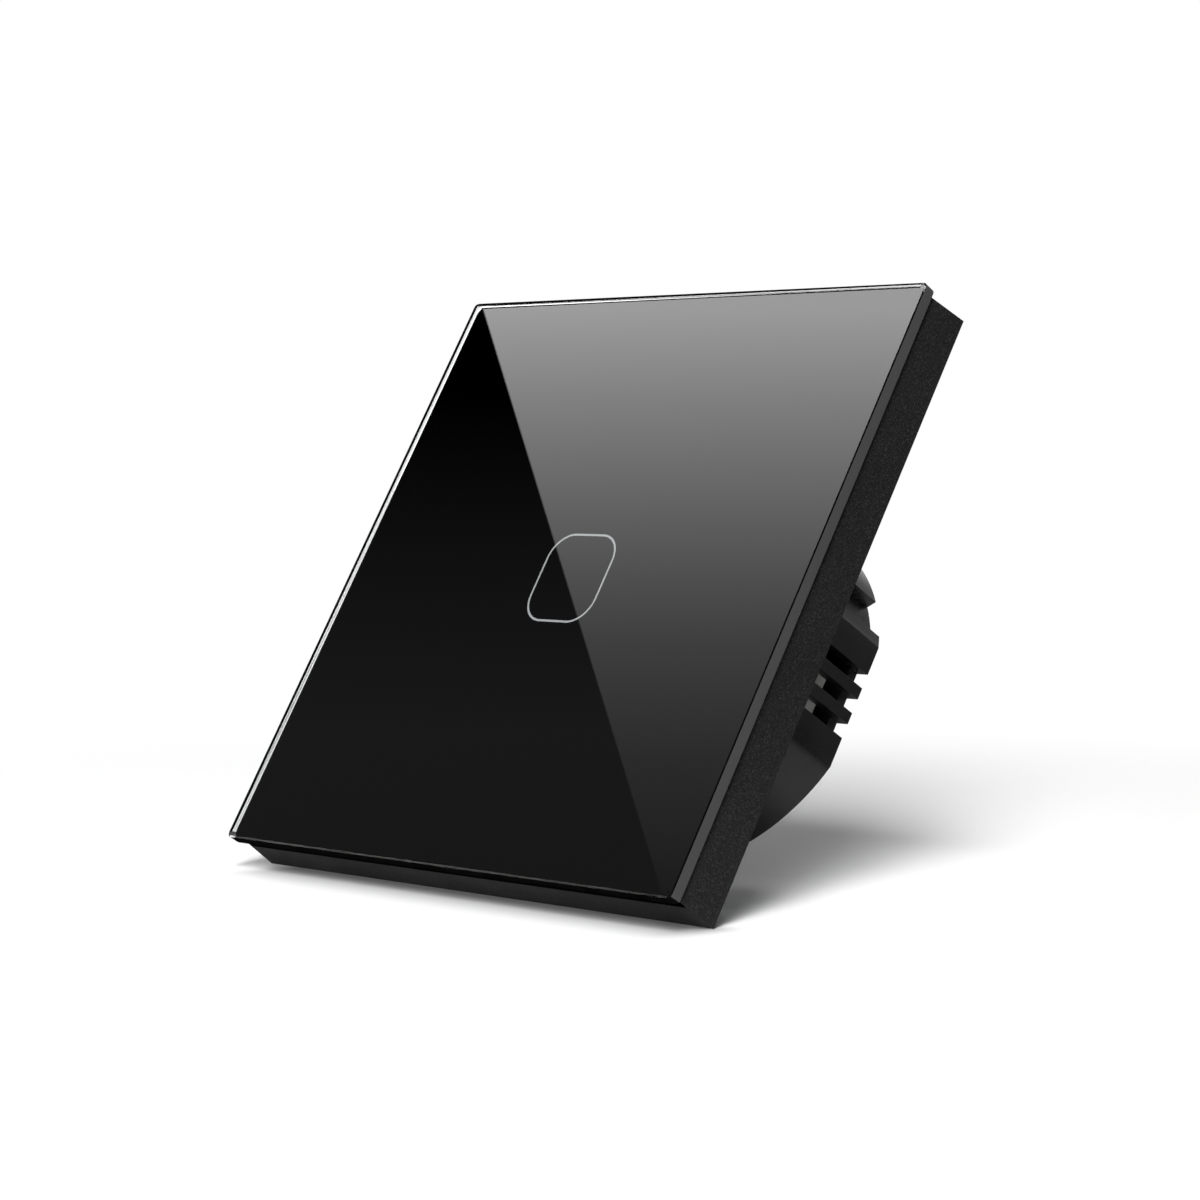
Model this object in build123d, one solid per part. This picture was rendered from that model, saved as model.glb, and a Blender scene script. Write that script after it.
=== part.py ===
from build123d import *
import math
import os

# A one-button touch switch for a round wall box.
# The frame is the switch as it hangs on the wall: +X to the right, +Z up, and +Y into the wall.
# The origin is the centre of the wall plane. "Front" and "back" values are places along Y.
# All sizes are in millimetres.

# Glass panel, with its black print and the touch outline left open in the print
glass_side = 86.0
glass_thickness = 1.9
glass_corner_radius = 1.3
glass_arris = 0.35
print_thickness = 0.1
outline_width = 12.7
outline_height = 13.2
outline_corner_radius = 3.8
outline_line = 0.3
outline_right_of_centre = 1.2
outline_below_centre = 0.6
tape_thickness = 0.4
tape_width = 3.2
tape_inset = 0.5

# Panel frame and its snap hooks
frame_depth = 6.32
glass_overhang = 0.7
frame_flare = 0.5
frame_wall = 1.6
web_thickness = 1.3
web_gap = 0.6
hook_width = 8.0
hook_thickness = 1.3
hook_gap = 0.3
hook_barb = 0.2
hook_barb_length = 1.1
hook_end_gap = 0.3
hook_spacing = 40.0
gusset_thickness = 1.0
gusset_reach = 2.4
gusset_rise = 3.2
gusset_place_shares = (-0.42, -0.14, 0.14, 0.42)

# Sensor cover
cover_step = 2.0
cover_corner_radius = 4.0
cover_face_thickness = 1.2
cover_wall = 1.2
cover_edge_chamfer = 0.5
access_notch_height = 20.0
access_gap = 0.5
post_radius = 3.0
pad_radius = 1.6
pad_inset = 3.0

# Steel mounting plate
plate_gap = 3.7
plate_corner_radius = 3.0
plate_thickness = 1.2
plug_window_gap = 1.7
plug_window_radius = 1.0
wall_screw_head_radius = 3.5
slot_length = 7.0
slot_width = 4.2
slot_edge = 3.5

# Screws that join the rear housing, the plate and the cover
housing_screw_radius = 1.25
housing_screw_head_radius = 2.2
housing_screw_head_height = 1.6
housing_screw_recess = 1.0
housing_screw_tip_gap = 0.5
screw_recess_width = 0.6
screw_recess_span = 2.6
screw_recess_depth = 0.9
screw_hole_gap = 0.35
pilot_gap = 0.02

# Touch board, the sheet behind it and what it carries
sheet_thickness = 0.4
sheet_gap = 0.3
touch_board_gap = 0.9
touch_board_height = 52.0
touch_board_thickness = 1.0
touch_board_corner = 1.0
post_clearance = 0.4
guide_wall = 1.8
guide_gap = 0.1
guide_flange_reach = 1.2
guide_flange_thickness = 1.0
lamp_length = 2.0
lamp_width = 1.2
lamp_height = 0.8
spring_radius = 3.8
spring_wire_radius = 0.3
spring_gap = 0.05
spring_turns = 3
chip_width = 4.0
chip_length = 10.0
chip_height = 1.5
chip_lead_reach = 1.0
chip_lead_width = 0.4
chip_lead_thickness = 0.25
chip_lead_pitch = 1.27
chip_leads_per_side = 8
chip_place_shares = (-0.33, 0.02)
small_part_length = 2.0
small_part_width = 1.25
small_part_height = 0.6

# Plug-in joint between the two boards
pin_count = 5
pin_pitch = 2.54
pin_size = 0.64
pin_stub = 0.8
pin_reach = 6.0
pin_hole_gap = 0.05
header_height = 2.54
header_rise = 8.0
socket_height = 8.5
socket_floor = 0.8

# Rear housing
body_radius = 26.0
body_depth = 26.0
body_flat_cut = 1.55
body_wall = 1.6
body_floor = 1.6
channel_depth = 1.4
channel_start_angle = 24.1
channel_end_angle = 37.3
channel_wall_angle = 3.5
vent_count = 3
vent_width = 2.05
vent_pitch = 3.7
vent_rise = 0.15
vent_length = 12.0
vent_bite = 0.35
boss_radius = 2.6
boss_shoulder_radius = 3.4
boss_rim = 1.104

# Power board and what stands on it
power_board_thickness = 1.6
power_board_gap = 0.4
boss_notch_gap = 0.1
film_capacitor_width = 5.0
film_capacitor_length = 13.0
film_capacitor_height = 11.2
film_capacitor_corner = 0.4
film_capacitor_wall_gap = 1.25
film_capacitor_drop = 3.1
can_radius = 4.0
can_height = 11.5
can_groove_height = 1.6
can_groove_depth = 0.35
can_groove_width = 0.7
can_top_radius = 3.5
can_top_thickness = 0.3
can_cross_width = 0.4
can_place_shares = (0.31, 0.75)
fuse_radius = 4.0
fuse_height = 7.7
fuse_edge = 0.5
fuse_place_shares = (-0.32, 0.735)
varistor_radius = 4.2
varistor_thickness = 3.2
varistor_edge = 0.8
varistor_stand = 1.0
lead_radius = 0.3
lead_spacing = 5.0
varistor_place_shares = (-0.36, -0.43)
bridge_width = 4.7
bridge_length = 3.9
bridge_height = 2.6
bridge_place_shares = (-0.66, -0.15)
choke_radius = 4.0
choke_core_radius = 2.0
choke_winding_radius = 3.6
choke_height = 9.0
choke_flange = 1.2
choke_place_shares = (-0.6, 0.19)
transformer_place_shares = (0.478, -0.03)
transformer_width = 9.8
transformer_length = 10.2
transformer_base_height = 1.2
transformer_leg = 1.4
transformer_middle_leg = 2.6
transformer_yoke = 1.8
transformer_core_thickness = 4.6
winding_build = 2.0
winding_corner = 1.0
solder_radius = 0.9
solder_tip_radius = 0.35
solder_height = 0.8
solder_place_shares = (
    (-0.16, -0.2), (0.16, -0.2), (-0.16, 0.48), (0.16, 0.48),
    (0.82, -0.32), (0.82, 0.06), (0.25, 0.75), (0.37, 0.75),
    (-0.38, 0.735), (-0.26, 0.735), (-0.47, -0.43), (-0.25, -0.43),
    (-0.7, 0.19), (-0.5, 0.19), (-0.22, -0.6), (0.22, -0.6),
)
power_part_place_shares = (
    (-0.45, 0.05), (-0.3, 0.15), (0.35, 0.1), (0.5, 0.1),
    (0.5, -0.1), (-0.5, -0.2), (0.1, -0.4), (-0.1, -0.35),
)
touch_part_place_shares = (
    (0.32, 0.08), (0.32, 0.0), (0.41, 0.08), (0.41, 0.0),
    (-0.1, 0.42), (0.1, 0.42), (-0.1, -0.42), (0.1, -0.42),
)

# Relay
relay_width = 10.1
relay_length = 17.6
relay_height = 12.3
relay_base_height = 1.4
relay_case_wall = 0.6
relay_case_corner = 0.5
relay_rise = 1.8
yoke_width = 7.0
yoke_thickness = 1.0
yoke_end_gap = 0.3
core_radius = 1.5
core_inset = 4.8
pole_radius = 2.6
pole_thickness = 0.4
bobbin_height = 6.56
bobbin_flange = 0.6
bobbin_wall = 0.5
bobbin_radius = 3.4
coil_radius = 3.2
armature_width = 6.4
armature_thickness = 0.8
armature_length = 7.7
armature_gap = 0.55
armature_seat_gap = 0.05
armature_angle = 4.0
blade_width = 4.0
blade_thickness = 0.25
blade_end_gap = 1.6
blade_start = 1.9
rivet_radius = 1.1
rivet_height = 0.6
rivet_end_inset = 1.0
rivet_gap = 0.05
contact_post_width = 3.0
contact_post_thickness = 0.8
contact_post_flange = 2.8
contact_post_top = 0.4

# Terminals
terminal_block_width = 22.0
terminal_block_length = 9.6
terminal_block_height = 14.2
terminal_edge_gap = 1.1
terminal_window_gap = 0.4
terminal_pitch = 10.2
well_radius = 3.1
terminal_screw_head_radius = 2.7
terminal_screw_head_height = 2.0
terminal_screw_head_recess = 1.0
terminal_screw_radius = 1.75
terminal_screw_slot_width = 0.8
terminal_screw_slot_depth = 1.0
terminal_screw_tip_gap = 0.05
shoulder_thickness = 1.0
shank_gap = 0.1
thread_gap = 0.05
cage_width = 6.4
cage_length = 5.6
cage_height = 7.4
cage_wall = 1.0
cage_travel = 1.5
cage_gap = 0.15
cage_side_gap = 0.2
wire_space = 3.0
wire_hole_radius = 2.0
bar_width = 3.6
bar_thickness = 0.8
bar_tail = 0.85
bar_start_gap = 0.25

# How far a cutting shape runs past the face it opens
overrun = 1.0

# Places along Y, front to back
wall_plane = 0.0
frame_front = wall_plane - frame_depth
print_back = frame_front - tape_thickness
glass_back = print_back - print_thickness
glass_front = glass_back - glass_thickness
cover_front = frame_front
cover_inside = cover_front + cover_face_thickness
plate_front = wall_plane - plate_thickness
sheet_front = plate_front - sheet_thickness
touch_board_front = sheet_front - touch_board_thickness
lamp_front = touch_board_front - lamp_height
header_back = sheet_front + header_height
power_board_front = header_back + socket_height
power_board_back = power_board_front + power_board_thickness
body_back = wall_plane + body_depth
floor_front = body_back - body_floor

# Sizes that follow from the ones above
frame_front_side = glass_side - 2 * glass_overhang
frame_rear_side = frame_front_side + 2 * frame_flare
frame_cavity_side = frame_front_side - 2 * frame_wall
plate_side = frame_cavity_side - 2 * plate_gap
cover_side = plate_side - 2 * cover_step
web_opening_side = cover_side + 2 * web_gap
hook_inside = cover_side / 2 + hook_gap
hook_end = plate_front - hook_end_gap
wall_screw_pitch = plate_side - slot_length - 2 * slot_edge
slot_play = (slot_length - slot_width) / 2
notch_floor = wall_screw_pitch / 2 - slot_play - wall_screw_head_radius - access_gap
touch_board_width = 2 * (notch_floor - cover_wall - touch_board_gap)
guide_width = outline_width - outline_line + guide_wall
guide_height = outline_height - outline_line + guide_wall
guide_radius = outline_corner_radius - outline_line / 2 + guide_wall / 2
housing_screw_pitch = math.sqrt(2) * (body_radius - boss_shoulder_radius - boss_rim)
inner_radius = body_radius - body_wall
body_flat = body_radius - body_flat_cut
inner_flat = body_flat - body_wall
power_board_radius = body_radius - channel_depth - body_wall - power_board_gap
terminal_block_drop = power_board_radius - terminal_edge_gap - terminal_block_length / 2
header_width = pin_count * pin_pitch


# A flat outline, drawn as seen from the front, given a thickness between two depths
def slab(sketch, front, back):
    return extrude(Plane.XZ.offset(-back) * sketch, amount=back - front)


# A rectangular block between two depths
def block(x, z, width, height, front, back):
    return slab(Pos(x, z) * Rectangle(width, height), front, back)


# A round rod along the depth
def rod(x, z, radius, front, back):
    return slab(Pos(x, z) * Circle(radius), front, back)


# A round rod along the height
def upright(x, y, radius, bottom, top):
    return extrude(Plane.XY.offset(bottom) * (Pos(x, y) * Circle(radius)), amount=top - bottom)


# The four places of the long screws, as (x, z)
def screw_places():
    half = housing_screw_pitch / 2
    return [(x, z) for x in (-half, half) for z in (-half, half)]


# A place on a board, from shares of its half width and half height
def on_board(shares, half_width, half_height):
    return shares[0] * half_width, shares[1] * half_height


# The rounded square that runs along the touch outline, grown by an amount
def outline_sketch(width, height, radius):
    return Pos(outline_right_of_centre, -outline_below_centre) * RectangleRounded(width, height, radius)


def glass_panel():
    glass = slab(RectangleRounded(glass_side, glass_side, glass_corner_radius), glass_front, glass_back)
    front_face = glass.faces().sort_by(Axis.Y)[0]
    return chamfer(front_face.edges(), glass_arris)


def outline_ring():
    outer = outline_sketch(outline_width, outline_height, outline_corner_radius)
    inner_width = outline_width - 2 * outline_line
    inner_height = outline_height - 2 * outline_line
    return outer - outline_sketch(inner_width, inner_height, outline_corner_radius - outline_line)


def back_print():
    sheet = RectangleRounded(glass_side, glass_side, glass_corner_radius)
    return slab(sheet - outline_ring(), glass_back, print_back)


def touch_outline():
    return slab(outline_ring(), glass_back, print_back)


def panel_tape():
    outer = frame_front_side - 2 * tape_inset
    inner = outer - 2 * tape_width
    return slab(Rectangle(outer, outer) - Rectangle(inner, inner), print_back, frame_front)


# One snap hook on the frame's upper side
def snap_hook(x):
    arm = block(x, hook_inside + hook_thickness / 2, hook_width, hook_thickness, frame_front, hook_end)
    catch = hook_end - hook_barb_length
    corners = [(catch, hook_inside), (hook_end, hook_inside), (catch, hook_inside - hook_barb)]
    barb = extrude(Plane.YZ.offset(x) * Polygon(*corners, align=None), amount=hook_width / 2, both=True)
    return arm + barb


# A row of small gussets between the frame's web and its upper wall
def gusset_row():
    web_back = frame_front + web_thickness
    wall = frame_cavity_side / 2
    corners = [(web_back, wall), (web_back + gusset_rise, wall), (web_back, wall - gusset_reach)]
    gusset = extrude(Plane.YZ * Polygon(*corners, align=None), amount=gusset_thickness / 2, both=True)
    row = [Pos(share * frame_cavity_side, 0, 0) * gusset for share in gusset_place_shares]
    return row


def panel_frame():
    front = Plane.XZ.offset(frame_depth) * Rectangle(frame_front_side, frame_front_side)
    rear = Plane.XZ * Rectangle(frame_rear_side, frame_rear_side)
    frame = loft([rear, front])
    cavity = Rectangle(frame_cavity_side, frame_cavity_side)
    frame -= slab(cavity, frame_front + web_thickness, wall_plane + overrun)
    opening = RectangleRounded(web_opening_side, web_opening_side, cover_corner_radius + web_gap)
    frame -= slab(opening, frame_front - overrun, wall_plane + overrun)
    for turn in (0, 180):
        for x in (-hook_spacing / 2, hook_spacing / 2):
            frame += Rot(0, turn, 0) * snap_hook(x)
    for turn in (0, 90, 180, 270):
        for gusset in gusset_row():
            frame += Rot(0, turn, 0) * gusset
    return frame


# The window in the plate and the sheet that the plug-in joint passes through
def plug_window():
    width = header_width + 2 * plug_window_gap
    height = pin_pitch + 2 * plug_window_gap
    return Pos(0, header_rise) * RectangleRounded(width, height, plug_window_radius)


def mounting_plate():
    plate = RectangleRounded(plate_side, plate_side, plate_corner_radius)
    plate -= plug_window()
    for x in (-wall_screw_pitch / 2, wall_screw_pitch / 2):
        plate -= Pos(x, 0) * SlotOverall(slot_length, slot_width)
    for x, z in screw_places():
        plate -= Pos(x, z) * Circle(housing_screw_radius + screw_hole_gap)
    return slab(plate, plate_front, wall_plane)


# The sensor cover's outline with its two side notches, pulled in by an amount
def cover_outline(inset):
    side = cover_side - 2 * inset
    outline = RectangleRounded(side, side, cover_corner_radius - inset)
    notch_reach = cover_side / 2 - notch_floor + inset
    notch = Rectangle(2 * notch_reach, access_notch_height + 2 * inset)
    for x in (-cover_side / 2, cover_side / 2):
        outline -= Pos(x, 0) * notch
    return outline


def sensor_cover():
    cover = slab(cover_outline(0), cover_front, plate_front)
    cover = chamfer(cover.faces().sort_by(Axis.Y)[0].edges(), cover_edge_chamfer)
    cover -= slab(cover_outline(cover_wall), cover_inside, plate_front + overrun)
    play = 2 * guide_gap
    window = outline_sketch(guide_width + play, guide_height + play, guide_radius + guide_gap)
    cover -= slab(window, cover_front - overrun, cover_inside + overrun)
    for x, z in screw_places():
        cover += rod(x, z, post_radius, cover_inside, plate_front)
        cover -= rod(x, z, housing_screw_radius + pilot_gap, cover_inside, plate_front + overrun)
    pad_x = touch_board_width / 2 - pad_inset
    pad_z = touch_board_height / 2 - pad_inset
    for x in (-pad_x, pad_x):
        for z in (-pad_z, pad_z):
            cover += rod(x, z, pad_radius, cover_inside, touch_board_front)
    return cover


def insulating_sheet():
    sheet = cover_outline(cover_wall + sheet_gap)
    sheet -= plug_window()
    for x, z in screw_places():
        sheet -= Pos(x, z) * Circle(post_radius + post_clearance)
    return slab(sheet, sheet_front, plate_front)


def pin_places():
    return [((i - (pin_count - 1) / 2) * pin_pitch, header_rise) for i in range(pin_count)]


def touch_board():
    board = RectangleRounded(touch_board_width, touch_board_height, touch_board_corner)
    for x, z in screw_places():
        board -= Pos(x, z) * Circle(post_radius + post_clearance)
    for x, z in pin_places():
        board -= Pos(x, z) * Rectangle(pin_size, pin_size)
    return slab(board, touch_board_front, sheet_front)


def light_guide():
    back = lamp_front - guide_gap
    outer = outline_sketch(guide_width, guide_height, guide_radius)
    inner_width = guide_width - 2 * guide_wall
    inner_height = guide_height - 2 * guide_wall
    inner = outline_sketch(inner_width, inner_height, guide_radius - guide_wall)
    reach = 2 * guide_flange_reach
    flange = outline_sketch(guide_width + reach, guide_height + reach, guide_radius + guide_flange_reach)
    tube = slab(outer - inner, print_back + guide_gap, back)
    return tube + slab(flange - inner, cover_inside, cover_inside + guide_flange_thickness)


# Four small lamps, one under the middle of each side of the outline
def indicator_lamps():
    centre_x = outline_right_of_centre
    centre_z = -outline_below_centre
    side_x = (outline_width - outline_line) / 2
    side_z = (outline_height - outline_line) / 2
    lamps = []
    for turn in (-1, 1):
        z = centre_z + turn * side_z
        x = centre_x + turn * side_x
        lamps.append(block(centre_x, z, lamp_length, lamp_width, lamp_front, touch_board_front))
        lamps.append(block(x, centre_z, lamp_width, lamp_length, lamp_front, touch_board_front))
    return Compound(lamps)


def touch_spring():
    start = touch_board_front - spring_wire_radius
    end = print_back + spring_gap + spring_wire_radius
    height = start - end
    centre = (outline_right_of_centre, start, -outline_below_centre)
    path = Helix(height / spring_turns, height, spring_radius, center=centre, direction=(0, -1, 0))
    section = Plane(origin=path @ 0, z_dir=path % 0) * Circle(spring_wire_radius)
    return sweep(section, path=path, is_frenet=True)


# A flat chip with a row of leads on each long side
def touch_chip():
    x, z = on_board(chip_place_shares, touch_board_width, touch_board_height)
    lift = chip_lead_thickness
    chip = block(x, z, chip_width, chip_length, touch_board_front - chip_height, touch_board_front - lift)
    for i in range(chip_leads_per_side):
        lead_z = z + (i - (chip_leads_per_side - 1) / 2) * chip_lead_pitch
        for side in (-1, 1):
            lead_x = x + side * chip_width / 2
            width = 2 * chip_lead_reach
            front = touch_board_front - 2 * lift
            chip += block(lead_x, lead_z, width, chip_lead_width, front, touch_board_front)
    return chip


def touch_board_parts():
    parts = []
    for shares in touch_part_place_shares:
        x, z = on_board(shares, touch_board_width, touch_board_height)
        front = touch_board_front - small_part_height
        parts.append(block(x, z, small_part_length, small_part_width, front, touch_board_front))
    return Compound(parts)


def pins(size, front, back):
    return [block(x, z, size, size, front, back) for x, z in pin_places()]


def header_pins():
    return Compound(pins(pin_size, touch_board_front - pin_stub, header_back + pin_reach))


def header_body():
    body = block(0, header_rise, header_width, pin_pitch, sheet_front, header_back)
    for pin in pins(pin_size, sheet_front - overrun, header_back + overrun):
        body -= pin
    return body


def header_socket():
    socket = block(0, header_rise, header_width, pin_pitch, header_back, power_board_front)
    for hole in pins(pin_size + 2 * pin_hole_gap, header_back - overrun, power_board_front - socket_floor):
        socket -= hole
    return socket


# A wedge from the axis between two angles, outside a radius
def outer_wedge(start_angle, end_angle, radius):
    reach = 2 * body_radius
    start = math.radians(start_angle)
    end = math.radians(end_angle)
    corners = [(0, 0)] + [(reach * math.cos(angle), reach * math.sin(angle)) for angle in (start, end)]
    return Polygon(*corners, align=None) - Circle(radius)


# The rear housing's outside outline: round, with two flats and two channels
def body_outline():
    outline = Circle(body_radius) & Rectangle(2 * body_flat, 2 * body_radius)
    wedge = outer_wedge(channel_start_angle, channel_end_angle, body_radius - channel_depth)
    for turn in (0, 180):
        outline -= Rot(0, 0, turn) * wedge
    return outline


# The outline of the space inside it, which keeps its distance from the channels
def body_inside():
    inside = Circle(inner_radius) & Rectangle(2 * inner_flat, 2 * inner_radius)
    start = channel_start_angle - channel_wall_angle
    end = channel_end_angle + channel_wall_angle
    wedge = outer_wedge(start, end, body_radius - channel_depth - body_wall)
    for turn in (0, 180):
        inside -= Rot(0, 0, turn) * wedge
    return inside


# The vent slots of one flat, open through the side and at the rear edge
def vent_slots():
    low = inner_flat - vent_bite
    high = body_flat + overrun
    slots = []
    for i in range(vent_count):
        z = (i - (vent_count - 1) / 2) * vent_pitch + vent_rise
        front = body_back - vent_length
        slots.append(block((low + high) / 2, z, high - low, vent_width, front, body_back + overrun))
    return slots


def terminal_window():
    width = terminal_block_width + 2 * terminal_window_gap
    top = -terminal_block_drop + terminal_block_length / 2 + terminal_window_gap
    bottom = -body_radius - overrun
    return block(0, (top + bottom) / 2, width, top - bottom, chamber_front(), body_back + overrun)


def rear_housing():
    housing = slab(body_outline(), wall_plane, body_back)
    housing -= slab(body_inside(), wall_plane - overrun, floor_front)
    for x, z in screw_places():
        housing += rod(x, z, boss_radius, wall_plane, floor_front)
        housing += rod(x, z, boss_shoulder_radius, power_board_back, floor_front)
    for x, z in screw_places():
        housing -= rod(x, z, housing_screw_radius + screw_hole_gap, wall_plane - overrun, body_back + overrun)
        housing -= rod(x, z, housing_screw_head_radius + screw_hole_gap, screw_seat(), body_back + overrun)
    for turn in (0, 180):
        for slot in vent_slots():
            housing -= Rot(0, turn, 0) * slot
    return housing - terminal_window()


# The depth at which the long screws' heads seat in the rear housing
def screw_seat():
    return body_back - housing_screw_recess - housing_screw_head_height


# A cross-shaped recess in a screw head whose end face is at a depth
def cross_recess(x, z, back):
    front = back - screw_recess_depth
    across = block(x, z, screw_recess_span, screw_recess_width, front, back + overrun)
    return across + block(x, z, screw_recess_width, screw_recess_span, front, back + overrun)


def housing_screws():
    screws = []
    head_back = screw_seat() + housing_screw_head_height
    for x, z in screw_places():
        screw = rod(x, z, housing_screw_radius, cover_inside + housing_screw_tip_gap, screw_seat())
        screw += rod(x, z, housing_screw_head_radius, screw_seat(), head_back)
        screws.append(screw - cross_recess(x, z, head_back))
    return Compound(screws)


def power_board():
    board = Circle(power_board_radius) & Rectangle(2 * (inner_flat - power_board_gap), 2 * power_board_radius)
    for x, z in screw_places():
        board -= Pos(x, z) * Circle(boss_radius + boss_notch_gap)
    return slab(board, power_board_front, power_board_back)


def on_power_board(shares):
    return on_board(shares, power_board_radius, power_board_radius)


def power_board_parts():
    parts = []
    for shares in power_part_place_shares:
        x, z = on_power_board(shares)
        front = power_board_front - small_part_height
        parts.append(block(x, z, small_part_length, small_part_width, front, power_board_front))
    return Compound(parts)


def solder_joints():
    joints = []
    middle = power_board_front - solder_height / 2
    for shares in solder_place_shares:
        x, z = on_power_board(shares)
        cone = Cone(solder_radius, solder_tip_radius, solder_height)
        joints.append(Pos(x, middle, z) * Rot(90, 0, 0) * cone)
    return Compound(joints)


# The pale block seen through the vent slots
def film_capacitor():
    x = inner_flat - film_capacitor_wall_gap - film_capacitor_width / 2
    back = power_board_back + film_capacitor_height
    box = block(x, -film_capacitor_drop, film_capacitor_width, film_capacitor_length, power_board_back, back)
    edges = box.edges().filter_by(Axis.Y) + box.faces().sort_by(Axis.Y)[-1].edges()
    return fillet(edges, film_capacitor_corner)


def smoothing_capacitor():
    x, z = on_power_board(can_place_shares)
    back = power_board_back + can_height
    groove_front = power_board_back + can_groove_height
    groove_back = groove_front + can_groove_width
    groove = Circle(can_radius + overrun) - Circle(can_radius - can_groove_depth)
    can = rod(x, z, can_radius, power_board_back, back)
    can -= slab(Pos(x, z) * groove, groove_front, groove_back)
    return can - rod(x, z, can_top_radius, back - can_top_thickness, back + overrun)


# The bare end of the can, with the cross that lets it vent
def capacitor_top():
    x, z = on_power_board(can_place_shares)
    back = power_board_back + can_height
    front = back - can_top_thickness
    top = rod(x, z, can_top_radius, front, back)
    cut_front = back - can_top_thickness / 2
    top -= block(x, z, can_top_radius, can_cross_width, cut_front, back + overrun)
    return top - block(x, z, can_cross_width, can_top_radius, cut_front, back + overrun)


def fuse():
    x, z = on_power_board(fuse_place_shares)
    can = rod(x, z, fuse_radius, power_board_back, power_board_back + fuse_height)
    return chamfer(can.faces().sort_by(Axis.Y)[-1].edges(), fuse_edge)


# A round disc standing on two leads
def varistor():
    x, z = on_power_board(varistor_place_shares)
    y = power_board_back + varistor_stand + varistor_radius
    disc = upright(x, y, varistor_radius, z - varistor_thickness / 2, z + varistor_thickness / 2)
    disc = fillet(disc.edges(), varistor_edge)
    for side in (-1, 1):
        disc += rod(x + side * lead_spacing / 2, z, lead_radius, power_board_back, y)
    return disc


def bridge_rectifier():
    x, z = on_power_board(bridge_place_shares)
    front = power_board_back + chip_lead_thickness
    body = block(x, z, bridge_width, bridge_length, front, power_board_back + bridge_height)
    for side_x in (-1, 1):
        for side_z in (-1, 1):
            lead_x = x + side_x * bridge_width / 4
            lead_z = z + side_z * bridge_length / 2
            back = power_board_back + 2 * chip_lead_thickness
            body += block(lead_x, lead_z, 2 * chip_lead_width, 2 * chip_lead_reach, power_board_back, back)
    return body


def choke_core():
    x, z = on_power_board(choke_place_shares)
    back = power_board_back + choke_height
    core = rod(x, z, choke_core_radius, power_board_back, back)
    core += rod(x, z, choke_radius, power_board_back, power_board_back + choke_flange)
    return core + rod(x, z, choke_radius, back - choke_flange, back)


def choke_winding():
    x, z = on_power_board(choke_place_shares)
    ring = Circle(choke_winding_radius) - Circle(choke_core_radius)
    front = power_board_back + choke_flange
    return slab(Pos(x, z) * ring, front, power_board_back + choke_height - choke_flange)


def transformer_base():
    x, z = on_power_board(transformer_place_shares)
    back = power_board_back + transformer_base_height
    return block(x, z, transformer_width, transformer_length, power_board_back, back)


# A core with a middle leg and two windows, lying parallel to the board
def transformer_core():
    x, z = on_power_board(transformer_place_shares)
    window = (transformer_width - transformer_middle_leg) / 2 - transformer_leg
    window_height = transformer_length - 2 * transformer_yoke
    front = power_board_back + transformer_base_height + winding_build
    shape = Rectangle(transformer_width, transformer_length)
    for side in (-1, 1):
        shape -= Pos(side * (transformer_middle_leg + window) / 2, 0) * Rectangle(window, window_height)
    return slab(Pos(x, z) * shape, front, front + transformer_core_thickness)


def transformer_winding():
    x, z = on_power_board(transformer_place_shares)
    length = transformer_length - 2 * transformer_yoke
    width = transformer_middle_leg + 2 * winding_build
    height = transformer_core_thickness + 2 * winding_build
    y = power_board_back + transformer_base_height + height / 2
    outer = Pos(x, y) * RectangleRounded(width, height, winding_corner)
    inner = Pos(x, y) * Rectangle(transformer_middle_leg, transformer_core_thickness)
    return extrude(Plane.XY.offset(z - length / 2) * (outer - inner), amount=length)


# Relay: places along Y inside it
relay_base_back = power_board_back + relay_base_height
yoke_back = relay_base_back + yoke_thickness
pole_front = yoke_back + bobbin_height
pole_back = pole_front + pole_thickness
armature_front = pole_back + armature_gap
armature_back = armature_front + armature_thickness
relay_back = power_board_back + relay_height

# Relay: places along Z inside it
relay_bottom = relay_rise - relay_length / 2
yoke_bottom = relay_bottom + relay_case_wall + yoke_end_gap
pivot_z = yoke_bottom + yoke_thickness / 2
core_z = yoke_bottom + core_inset
blade_bottom = yoke_bottom + blade_start
blade_top = relay_rise + relay_length / 2 - relay_case_wall - blade_end_gap
rivet_z = blade_top - rivet_end_inset
contact_swing = (rivet_z + rivet_radius - pivot_z) * math.sin(math.radians(armature_angle))
fixed_rivet_back = armature_back - rivet_height - contact_swing - rivet_gap


def relay_base():
    return block(0, relay_rise, relay_width, relay_length, power_board_back, relay_base_back)


def relay_case():
    outer = RectangleRounded(relay_width, relay_length, relay_case_corner)
    inner = Rectangle(relay_width - 2 * relay_case_wall, relay_length - 2 * relay_case_wall)
    case = slab(Pos(0, relay_rise) * outer, relay_base_back, relay_back)
    return case - slab(Pos(0, relay_rise) * inner, relay_base_back - overrun, relay_back - relay_case_wall)


# The bent iron yoke with the coil's core riveted to it
def relay_yoke():
    strip_top = core_z + pole_radius
    middle = (yoke_bottom + strip_top) / 2
    yoke = block(0, middle, yoke_width, strip_top - yoke_bottom, relay_base_back, yoke_back)
    yoke += block(0, pivot_z, yoke_width, yoke_thickness, relay_base_back, armature_front - armature_seat_gap)
    yoke += rod(0, core_z, core_radius, yoke_back, pole_back)
    return yoke + rod(0, core_z, pole_radius, pole_front, pole_back)


def relay_bobbin():
    bobbin = rod(0, core_z, core_radius + bobbin_wall, yoke_back, pole_front)
    bobbin += rod(0, core_z, bobbin_radius, yoke_back, yoke_back + bobbin_flange)
    bobbin += rod(0, core_z, bobbin_radius, pole_front - bobbin_flange, pole_front)
    return bobbin - rod(0, core_z, core_radius, yoke_back - overrun, pole_front + overrun)


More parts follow.
